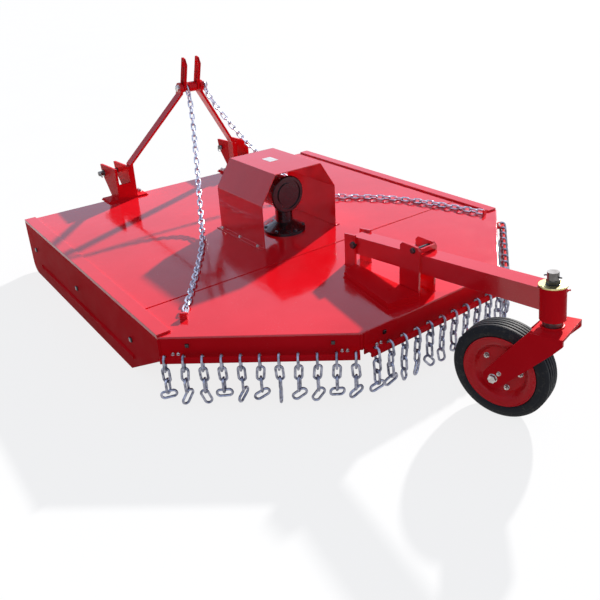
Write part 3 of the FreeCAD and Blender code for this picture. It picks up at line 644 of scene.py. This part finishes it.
# Tyre with five ribs round it
tyreShape = {"radius": 184.0, "ribs": 5, "treadHalf": 38.0, "groove": 4.0, "depth": 6.0, "crown": 2.2,
             "edgeDrop": 1.4, "edgeIn": 1.6, "grooveTaper": 0.6, "steps": 120}
# Side wall from the bead to the shoulder: (radius, distance from the wheel's middle)
sideWall = [(118.0, 41.0), (128.0, 42.5), (138.0, 43.0), (141.0, 46.5), (146.0, 49.2), (153.0, 50.0),
            (160.0, 49.6), (164.0, 48.6), (165.0, 47.4), (167.0, 47.6), (172.0, 46.0), (177.0, 43.0),
            (181.0, 40.0)]


def tyreProfile():
    tyre = tyreShape
    profile = [(radius, -out) for radius, out in sideWall]
    width = (2 * tyre["treadHalf"] - (tyre["ribs"] - 1) * tyre["groove"]) / tyre["ribs"]
    start = -tyre["treadHalf"]
    for rib in range(tyre["ribs"]):
        end = start + width
        crown = tyre["radius"] - tyre["crown"] * ((start + width / 2) / tyre["treadHalf"]) ** 2
        profile += [(crown - tyre["edgeDrop"], start), (crown, start + tyre["edgeIn"]),
                    (crown, end - tyre["edgeIn"]), (crown - tyre["edgeDrop"], end)]
        if rib < tyre["ribs"] - 1:
            profile += [(crown - tyre["depth"], end + tyre["grooveTaper"]),
                        (crown - tyre["depth"], end + tyre["groove"] - tyre["grooveTaper"])]
        start += width + tyre["groove"]
    return profile + [(radius, out) for radius, out in reversed(sideWall)]


def makeTyre():
    mesh = bmesh.new()
    revolve(mesh, tyreProfile(), facing(wheelCentre, wheelAxis), tyreShape["steps"], True)
    finishPiece(mesh, "ribbedTyre", "wheel", rubber, ["tyre"])


# Rim: two pressed halves with a rolled flange, a dished disc and five bolts that hold them together
rimShape = {"steps": 96, "bolts": 5, "boltCircle": 72.0, "firstBolt": 38.0, "boltOut": 18.2,
            "bolt": (17.0, 9.0), "boltEnd": 6.0}
# Half of the rim's section, hub, disc, well and flange: (radius, distance from the wheel's middle)
rimHalf = [(10.1, 70.0), (12.0, 70.0), (26.0, 70.0), (27.5, 68.5), (27.5, 22.0), (34.0, 19.5), (56.0, 18.5),
           (88.0, 18.0), (90.0, 20.0), (94.0, 25.5), (98.5, 32.0), (103.5, 39.5), (111.0, 42.4),
           (116.0, 44.8), (121.0, 45.6), (131.4, 46.8), (133.0, 48.8), (136.0, 49.0), (138.2, 47.0),
           (138.0, 44.4), (135.5, 42.2), (132.0, 41.6), (118.0, 41.0), (116.0, 38.0)]


def spoke(angle):
    return castorAhead * math.cos(angle) + castorUp * math.sin(angle)


def makeRim():
    mesh = bmesh.new()
    section = rimHalf + [(radius, -out) for radius, out in reversed(rimHalf)]
    revolve(mesh, section, facing(wheelCentre, wheelAxis), rimShape["steps"], True)
    finishPiece(mesh, "pressedRim", "wheel", redEnamelBars, ["rim"])


def makeRimBolts():
    rim = rimShape
    mesh = bmesh.new()
    for side in (1.0, -1.0):
        for index in range(rim["bolts"]):
            angle = math.radians(rim["firstBolt"] + 360.0 / rim["bolts"] * index)
            out = wheelAxis * (side * rim["boltOut"] * mm)
            place = wheelCentre + spoke(angle) * (rim["boltCircle"] * mm) + out
            addHexBolt(mesh, place, wheelAxis * side, *rim["bolt"], rim["boltEnd"] if side > 0 else 0.0)
    finishPiece(mesh, "rimBolts", "wheel", boltZinc)


# Valve: its place on the rim, how far it leans to the hub, and its (radius, height)
valve = {"angle": 2.4, "radius": 104.0, "out": 38.0, "lean": 0.5, "steps": 16,
         "profile": [(5.0, -4.0), (5.0, 4.0), (3.8, 6.0), (3.8, 20.0), (4.6, 21.0), (4.6, 29.0), (3.0, 30.5)]}


def makeValve():
    mesh = bmesh.new()
    way = spoke(valve["angle"])
    place = wheelCentre + way * (valve["radius"] * mm) + wheelAxis * (valve["out"] * mm)
    leaning = (wheelAxis - way * valve["lean"]).normalized()
    revolve(mesh, valve["profile"], facing(place, leaning), valve["steps"])
    finishPiece(mesh, "tyreValve", "wheel", rubber)


# Castor: hexagon axle bolt and nut, and a locking bolt on each arm; a bolt is its flats and head height
castorTrim = {"armOut": 92.0, "axleBolt": (27.0, 15.0), "axleEnd": 7.0, "axleRadius": 10.0, "axlePast": 2.0,
              "axleSteps": 28, "lockBack": 23.0, "lockUp": 24.0, "lockBolt": (13.0, 8.0), "lockEnd": 4.0}


def makeAxleBolts():
    trim = castorTrim
    ends = bmesh.new()
    locks = bmesh.new()
    axle = (castorFrame.inverted() @ wheelCentre) / mm
    for side in (1.0, -1.0):
        face = side * trim["armOut"]
        addHexBolt(ends, onCastor(axle.x, face, axle.z), wheelAxis * side, *trim["axleBolt"],
                   trim["axleEnd"] if side < 0 else 0.0)
        place = onCastor(axle.x - trim["lockBack"], face, axle.z + trim["lockUp"])
        addHexBolt(locks, place, wheelAxis * side, *trim["lockBolt"], trim["lockEnd"] if side > 0 else 0.0)
    half = trim["armOut"] + trim["axlePast"]
    revolve(ends, [(trim["axleRadius"], -half), (trim["axleRadius"], half)],
            facing(wheelCentre, wheelAxis), trim["axleSteps"])
    finishPiece(ends, "axleBoltAndNut", "castor", boltZinc, ["axle"])
    finishPiece(locks, "axleLockBolts", "castor", boltZinc)


# Spindle nut with its cotter pin, whose line is (ahead, left, up) from the tube's top
spindleTop = {"nutUp": 6.6, "nut": (40.0, 17.0), "pinRadius": 2.6, "pinSides": 10,
              "pin": [(-30.0, 4.0, 33.0), (0.0, 0.0, 33.0), (27.0, -4.0, 33.0), (33.0, -9.0, 29.0)]}


def makeSpindleNut():
    top = spindleTop
    mesh = bmesh.new()
    addHexBolt(mesh, onCastor(0.0, 0.0, top["nutUp"]), castorUp, *top["nut"])
    addTube(mesh, [onCastor(*place) for place in top["pin"]], top["pinRadius"], top["pinSides"])
    finishPiece(mesh, "spindleNutAndPin", "castor", blackCoat)


# Grease nipple on the side of the castor tube, with its (radius, height)
nipple = {"way": (0.86, -0.5, 0.0), "down": 26.0, "out": 44.0, "steps": 18,
          "profile": [(7.5, 0.0), (7.5, 4.0), (5.2, 5.0), (5.2, 8.0), (3.0, 9.0), (2.4, 13.0), (3.6, 15.0),
                      (2.6, 18.0)]}


def makeNipple():
    mesh = bmesh.new()
    way = Vector(nipple["way"])
    way = (way - castorUp * way.dot(castorUp)).normalized()
    place = tubeTop - castorUp * (nipple["down"] * mm) + way * (nipple["out"] * mm)
    revolve(mesh, nipple["profile"], facing(place, way), nipple["steps"])
    finishPiece(mesh, "greaseNipple", "deck", redEnamelSide)


# Lip under each rear apron: a flat strip whose lower corners are cut by (across, up)
apronLip = {"top": 228.0, "bottom": 203.0, "thick": 6.0, "back": 1.0, "fromEnd": 12.0,
            "innerCut": (2.0, 3.0), "outerCut": (1.5, 1.5)}


def makeApronLips():
    lip = apronLip
    inner, outer, low, high = -lip["back"] - lip["thick"], -lip["back"], lip["bottom"], lip["top"]
    (innerAcross, innerUp), (outerAcross, outerUp) = lip["innerCut"], lip["outerCut"]
    outline = [(inner, high), (inner, low + innerUp), (inner + innerAcross, low),
               (outer - outerAcross, low), (outer, low + outerUp), (outer, high)]
    mesh = bmesh.new()
    for name, start, end, along, outward in rearSides():
        gap = along * (lip["fromEnd"] * mm)
        addStrip(mesh, start + gap, end - gap, outward, outline)
    finishPiece(mesh, "apronLips", "deck", redEnamelSide)


# Rounded upright at each rear corner, between the deck's edge and the aprons
deckCorner = {"radius": 8.5, "sides": 16, "inward": 11.0, "below": 3.0, "lengths": (0.0, 18.0, 72.0)}


def makeDeckCorners():
    post = deckCorner
    mesh = bmesh.new()
    for x, y in ((deckSize["rearHalf"], deckSize["rear"]), (deckSize["halfWidth"], deckSize["sideEnd"])):
        for side in (-1.0, 1.0):
            pull = Vector((-side * x, -y, 0.0)).normalized() * (post["inward"] * mm)
            top = at(side * x, y, deckTopZ - post["below"]) + pull
            line = [top - upward * (down * mm) for down in post["lengths"]]
            addTube(mesh, line, post["radius"], post["sides"])
    finishPiece(mesh, "deckCorners", "deck", redEnamelSide)


# Dark square bolts near the ends of the aprons and on the skirts; a bolt is its width and head height
squareBolts = {"apronFromEnd": 110.0, "apronZ": 266.0, "apron": (15.0, 7.0),
               "skirtY": (770.0, 136.0, -498.0), "skirtZ": 167.0, "skirt": (19.0, 8.0)}


def makeSquareBolts():
    bolts = squareBolts
    mesh = bmesh.new()
    for name, start, end, along, outward in rearSides():
        for foot, way in ((start, 1.0), (end, -1.0)):
            place = foot + along * (way * bolts["apronFromEnd"] * mm) + upward * (bolts["apronZ"] * mm)
            addSquareBolt(mesh, place, outward, *bolts["apron"])
    for side in (-1.0, 1.0):
        for y in bolts["skirtY"]:
            place = at(side * deckSize["halfWidth"], y, bolts["skirtZ"])
            addSquareBolt(mesh, place, sideways * side, *bolts["skirt"])
    finishPiece(mesh, "darkSquareBolts", "deck", blackCoat)


# Two small bolts on each end tab of the bars; hexagon bolts are flats, head height and shank end
barBolts = {"fromEnd": (57.0, 77.0), "out": 17.0, "z": 236.0, "bolt": (12.0, 8.0, 3.0)}


def makeBarBolts():
    bolts = barBolts
    mesh = bmesh.new()
    for name, start, end, along, outward in rearSides():
        offset = outward * (bolts["out"] * mm) + upward * (bolts["z"] * mm)
        for foot, way in ((start, 1.0), (end, -1.0)):
            for step in bolts["fromEnd"]:
                addHexBolt(mesh, foot + along * (way * step * mm) + offset, upward, *bolts["bolt"])
    finishPiece(mesh, "barBolts", "deck", boltZinc)


# Bent wire hook on the deck beside the beam
deckHook = {"radius": 3.0, "sides": 10,
            "line": [(-61, -985, 300), (-61, -985, 308), (-60, -980, 315), (-58, -970, 319), (-56, -960, 316),
                     (-55, -954, 309), (-55, -953, 304)]}


def makeHook():
    mesh = bmesh.new()
    addTube(mesh, [at(*place) for place in deckHook["line"]], deckHook["radius"], deckHook["sides"])
    finishPiece(mesh, "deckHook", "deck", bareSteel)


# Weld beads where plates stand on the deck and down the sides of the castor tube
weldBead = {"radius": 3.6, "seamRadius": 2.4, "step": 4.5, "ripple": 0.16, "sides": 8,
            "tubeSide": 41.0, "tubeAhead": 19.0, "tubeRun": (2.0, 84.0)}
deckWeldZ = 302
plateWeldZ = 312
# Runs on the left, which the right repeats: the height and the (x, y) points
weldRuns = [(deckWeldZ, [(-527, 829), (-282, 829), (-282, 947), (-527, 947), (-527, 829)]),
            (deckWeldZ, [(-51, -757), (-51, -825)]), (deckWeldZ, [(-51, -1106), (-51, -1213)]),
            (deckWeldZ, [(-39, -1106), (-39, -1213)]), (plateWeldZ, [(-364, 829), (-364, 890)]),
            (plateWeldZ, [(-466, 832), (-466, 944)]), (plateWeldZ, [(-449, 845), (-449, 944)]),
            (plateWeldZ, [(-380, 845), (-380, 944)])]
ribWeld = [(-52, -830), (-146, -860), (-207, -1201), (-52, -1224)]
seamWeld = [(-938, -537), (938, -537)]


def spaced(points):
    # The points, with others between them a bead's step apart.
    placed = [points[0]]
    for first, second in zip(points, points[1:]):
        count = max(1, int((second - first).length / (weldBead["step"] * mm)))
        placed += [first.lerp(second, (index + 1) / count) for index in range(count)]
    return placed


def layBead(mesh, points, radius, closed=False):
    addTube(mesh, points, radius, weldBead["sides"], closed, weldBead["ripple"])


def makeWelds():
    bead = weldBead
    mesh = bmesh.new()
    for height, run in weldRuns:
        for side in (1.0, -1.0):
            layBead(mesh, spaced([at(x * side, y, height) for x, y in run]), bead["radius"])
    layBead(mesh, spaced([at(x, y, deckWeldZ) for x, y in ribWeld]), bead["radius"])
    layBead(mesh, spaced([at(x, y, deckWeldZ) for x, y in seamWeld]), bead["seamRadius"])
    for side in (1.0, -1.0):
        down = [tubeTop + sideways * (side * bead["tubeSide"] * mm) - castorUp * (depth * mm)
                + castorUp.cross(sideways) * (bead["tubeAhead"] * mm) for depth in bead["tubeRun"]]
        layBead(mesh, spaced(down), bead["radius"])
    finishPiece(mesh, "weldBeads", "deck", redEnamelSide)


# Bead round the spindle where it stands on the fork
forkWeld = {"radius": 37.0, "down": 147.0, "count": 60}


def makeCastorWeld():
    weld = forkWeld
    mesh = bmesh.new()
    turns = [2 * math.pi * index / weld["count"] for index in range(weld["count"])]
    circle = [onCastor(weld["radius"] * math.cos(turn), weld["radius"] * math.sin(turn), -weld["down"])
              for turn in turns]
    layBead(mesh, circle, weldBead["radius"], True)
    finishPiece(mesh, "castorWeld", "castor", redEnamelSide)


# Apex bolt through the mast legs
apexBolt = {"left": -74.0, "right": 92.0, "head": (33.0, 14.0), "end": 6.0, "radius": 12.0, "steps": 24}


def makeApexBolt():
    bolt = apexBolt
    mesh = bmesh.new()
    left, right = at(bolt["left"], apexY, apexZ), at(bolt["right"], apexY, apexZ)
    addHexBolt(mesh, left, -sideways, *bolt["head"])
    addHexBolt(mesh, right, sideways, *bolt["head"], bolt["end"])
    revolve(mesh, [(bolt["radius"], 0.0), (bolt["radius"], bolt["right"] - bolt["left"])],
            facing(left, sideways), bolt["steps"])
    finishPiece(mesh, "apexHexBolt", "deck", boltZinc, ["mast_bolt"])


# Rings of the lynch pins on the two lower pins: where each is across, and how far it leans that way
lynchRing = {"link": {"long": 45.0, "wide": 44.0, "wire": 5.0, "steps": 28, "sides": 8},
             "pinY": 1015.0, "pinZ": 440.0, "below": 4.0, "hang": 4.0, "fall": (0.1, -0.95),
             "rings": ((-489.0, 0.35), (351.0, -0.2))}


def makeLynchPinRings():
    ring = lynchRing
    mesh = bmesh.new()
    for x, tilt in ring["rings"]:
        along = Vector((tilt, *ring["fall"])).normalized()
        place = at(x, ring["pinY"], ring["pinZ"] - ring["below"]) + along * (ring["hang"] * mm)
        addLink(mesh, place, along, along.cross(sideways).normalized(), ring["link"])
    finishPiece(mesh, "lynchPinRings", "deck", boltZinc)


# Bolts through the beam's brackets: y, z, flats, head height and shank radius; the low one is a short one
beamBolts = {"half": 50.0, "end": 5.0, "steps": 24, "low": (-1153.0, 318.0), "lowHead": (17.0, 9.0),
             "through": ((-818.0, 415.0, 27.0, 12.0, 10.0), (-1180.0, 505.0, 20.0, 10.0, 7.0))}


def makeBeamBolts():
    bolts = beamBolts
    mesh = bmesh.new()
    for y, z, flats, thick, shank in bolts["through"]:
        for side in (1.0, -1.0):
            addHexBolt(mesh, at(side * bolts["half"], y, z), sideways * side, flats, thick,
                       bolts["end"] if side > 0 else 0.0)
        revolve(mesh, [(shank, 0.0), (shank, 2 * bolts["half"])],
                facing(at(-bolts["half"], y, z), sideways), bolts["steps"])
    addHexBolt(mesh, at(-bolts["half"], *bolts["low"]), -sideways, *bolts["lowHead"])
    finishPiece(mesh, "beamHexBolts", "deck", blackCoat, ["bracket_bolts"])


# Bolts on the clevises' base plates and on the cover's feet
plateBolts = {"clevisX": 300.0, "clevisY": (900.0, 925.0), "clevisZ": 312.0, "clevis": (17.0, 10.0, 5.0),
              "coverX": 238.0, "coverY": (-320.0, -157.0, 10.0), "coverUp": 4.0, "cover": (13.0, 8.0, 3.0)}


def makePlateBolts():
    bolts = plateBolts
    mesh = bmesh.new()
    for side in (1.0, -1.0):
        for y in bolts["clevisY"]:
            addHexBolt(mesh, at(side * bolts["clevisX"], y, bolts["clevisZ"]), upward, *bolts["clevis"])
        for y in bolts["coverY"]:
            place = at(side * bolts["coverX"], y, deckTopZ + bolts["coverUp"])
            addHexBolt(mesh, place, upward, *bolts["cover"])
    finishPiece(mesh, "plateBolts", "deck", boltZinc)


# Ring of bolts on the gearbox's foot
footBolts = {"count": 6, "first": 30.0, "circle": 97.0, "middleY": -215.0, "up": 16.0, "head": (16.0, 11.0)}


def makeFootBolts():
    bolts = footBolts
    mesh = bmesh.new()
    for index in range(bolts["count"]):
        angle = math.radians(bolts["first"] + 360.0 / bolts["count"] * index)
        x = bolts["circle"] * math.cos(angle)
        y = bolts["middleY"] + bolts["circle"] * math.sin(angle)
        addHexBolt(mesh, at(x, y, deckTopZ + bolts["up"]), upward, *bolts["head"])
    finishPiece(mesh, "gearboxFootBolts", "deck", blackCoat)


# Blank sticker on the cover's top
sticker = {"x": (-30.0, 22.0), "y": (-165.0, -88.0), "corner": 5.0, "cornerSteps": 4, "foot": 0.05,
           "thick": 0.5}


def makeSticker():
    label = sticker
    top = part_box("cover")[1].z / mm
    (x0, x1), (y0, y1), r = label["x"], label["y"], label["corner"]
    outline = []
    for cx, cy, start in ((x1 - r, y1 - r, 0), (x0 + r, y1 - r, 90), (x0 + r, y0 + r, 180),
                          (x1 - r, y0 + r, 270)):
        for step in range(label["cornerSteps"] + 1):
            angle = math.radians(start + 90.0 / label["cornerSteps"] * step)
            outline.append((cx + r * math.cos(angle), cy + r * math.sin(angle)))
    mesh = bmesh.new()
    rings = [[mesh.verts.new(at(x, y, top + z)) for x, y in outline] for z in (label["foot"], label["thick"])]
    bridge(mesh, rings, foot=False)
    finishPiece(mesh, "blankSticker", "deck", whiteVinyl)


# Input shaft with six splines; crest and valley are degrees round from the middle of a tooth
splines = {"count": 6, "z": 503.0, "radius": 17.4, "root": 14.6, "back": -150.0, "start": -52.0,
           "runOut": 8.0, "end": 20.0, "tip": 22.0, "tipRadius": 15.6, "tipRoot": 14.0,
           "crest": (-16.0, -5.0, 5.0, 16.0), "valley": (19.0, 30.0, 41.0)}


def makeInputShaft():
    shaft = splines
    full, root = shaft["radius"], shaft["root"]
    sections = [(shaft["back"], full, full), (shaft["start"], full, full),
                (shaft["start"] + shaft["runOut"], full, root), (shaft["end"], full, root),
                (shaft["tip"], shaft["tipRadius"], shaft["tipRoot"])]
    mesh = bmesh.new()
    rings = []
    for y, crest, valley in sections:
        points = [(offset, crest) for offset in shaft["crest"]]
        points += [(offset, valley) for offset in shaft["valley"]]
        ring = []
        for tooth in range(shaft["count"]):
            for offset, radius in points:
                angle = math.radians(360.0 / shaft["count"] * tooth + offset)
                place = at(radius * math.sin(angle), y, shaft["z"] + radius * math.cos(angle))
                ring.append(mesh.verts.new(place))
        rings.append(ring)
    bridge(mesh, rings)
    finishPiece(mesh, "splinedShaft", "input_shaft", bareSteel, ["input_shaft"])


print("stage: chains")
makeGuardChains()
makeLongChain("left", leftRoute)
makeLongChain("right", rightRoute)
print("stage: wheel")
makeTyre()
makeRim()
makeRimBolts()
makeValve()
print("stage: castor trim")
makeAxleBolts()
makeSpindleNut()
makeNipple()
print("stage: deck trim, welds and fasteners")
makeApronLips()
makeDeckCorners()
makeSquareBolts()
makeBarBolts()
makeHook()
makeWelds()
makeCastorWeld()
makeApexBolt()
makeLynchPinRings()
makeBeamBolts()
makePlateBolts()
makeFootBolts()
makeSticker()
makeInputShaft()

# Carried-over plates and bars: their edges are rounded as bent and ground steel is, by millimetres here
edgeRound = {"deck_plate": 2.0, "cover": 3.5, "tail_beam": 6.0, "skirt_left": 2.5, "skirt_right": 2.5,
             "fork": 2.0, "deck_rails": 4.0, "deck_cross_members": 4.0, "blade_pan": 2.0}
# Radius of the other edges and what is merged, in millimetres; degrees that count as flat and as an edge
edges = {"otherRound": 1.5, "merge": 0.05, "flatWithin": 0.8, "edgeFrom": 30.0, "segments": 3}
skirtSheets = ["skirt_left", "skirt_right"]
sideSheets = ["apron_left", "apron_rear", "apron_right", "apron_front", "beam_rib", "fork",
              "castor_tube", "hitch_clevis_left", "hitch_clevis_right", "top_lug_left", "top_lug_right"]
bars = ["mast_leg_left", "mast_leg_right", "mast_spacer"]
otherCoats = [(skirtSheets, redEnamelSkirt), (sideSheets, redEnamelSide), (bars, redEnamelBars)]
# Bored plates, whose flat faces are made whole before their edges are rounded
flatPlates = ["tail_beam", "beam_bracket_front", "beam_bracket_rear", "fork"]
slotOf = {row["node"]: row["material_slot"] for row in frame["record"]["subparts"]}


def dressNodes():
    for name, piece in frame["nodes"].items():
        piece.data.materials.clear()
        paint = finishes[slotOf[name]]
        for sheets, coat in otherCoats:
            if name in sheets:
                paint = coat
        piece.data.materials.append(paint)
        if "custom_normal" in piece.data.attributes:
            piece.data.attributes.remove(piece.data.attributes["custom_normal"])
        piece.data.polygons.foreach_set("use_smooth", [True] * len(piece.data.polygons))
        weld = piece.modifiers.new("weld", "WELD")
        weld.merge_threshold = edges["merge"] * mm
        if name in flatPlates:
            flat = piece.modifiers.new("flat", "DECIMATE")
            flat.decimate_type = "DISSOLVE"
            flat.angle_limit = math.radians(edges["flatWithin"])
        edge = piece.modifiers.new("edge", "BEVEL")
        edge.width = edgeRound.get(name, edges["otherRound"]) * mm
        edge.segments = edges["segments"]
        edge.limit_method = "ANGLE"
        edge.angle_limit = math.radians(edges["edgeFrom"])
        edge.harden_normals = True


print("stage: carried-over plates")
dressNodes()
